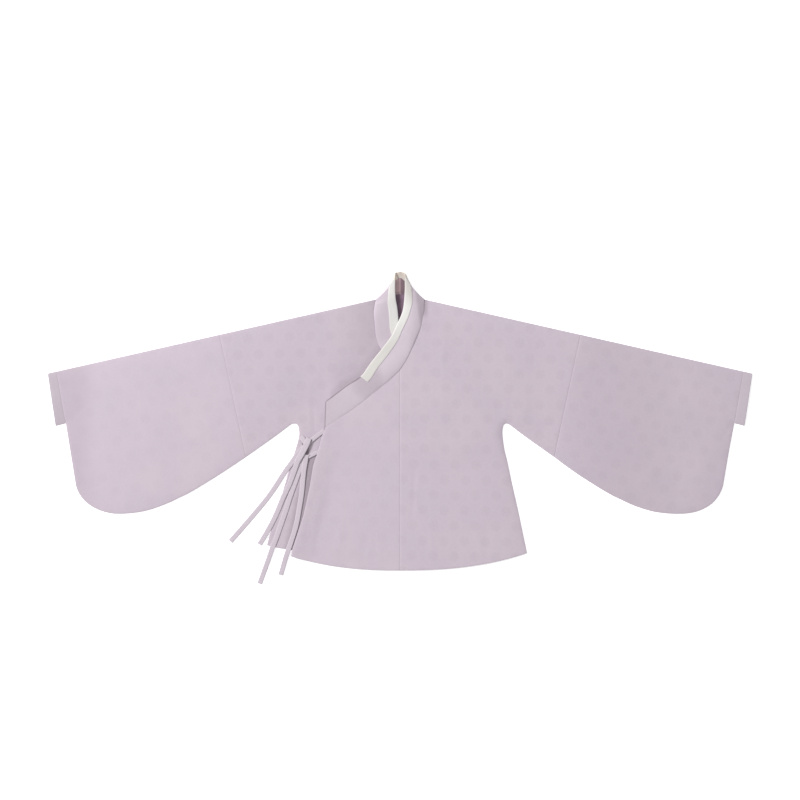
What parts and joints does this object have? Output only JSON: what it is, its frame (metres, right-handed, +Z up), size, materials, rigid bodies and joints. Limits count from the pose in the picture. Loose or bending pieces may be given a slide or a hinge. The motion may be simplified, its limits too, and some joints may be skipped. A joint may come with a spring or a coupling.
{
  "type": "hanfu jacket, laid flat",
  "caption": "Short cross-collar jacket with wide lute-shaped sleeves, narrow cuffs, a white collar guard and flat side ties, laid flat with its front up.",
  "frame": {"origin": "middle of the laid-flat jacket's footprint, on the surface it lies on", "axes": "+X along the sleeves to the viewer's right, which is the wearer's left; +Y towards the neck; +Z up out of the front"},
  "size_m": [1.796, 0.798, 0.0166],
  "materials": {
    "jacquard": "pale lilac cloth with a tone-on-tone woven roundel, soft low sheen",
    "plain_lilac": "plain pale lilac weave, matt",
    "guard_white": "off-white fine twill, matt"
  },
  "bodies": {
    "root": {"body_left": "jacquard", "body_right": "jacquard", "flap_inner": "jacquard", "flap_outer": "jacquard", "sleeve_left": "jacquard", "sleeve_right": "jacquard", "cuff_left": "plain_lilac", "cuff_right": "plain_lilac", "collar": "plain_lilac", "collar_guard": "guard_white", "tie_upper_outer": "plain_lilac", "tie_upper_inner": "plain_lilac", "tie_lower_outer": "plain_lilac", "tie_lower_inner": "plain_lilac"}
  },
  "joints": []
}
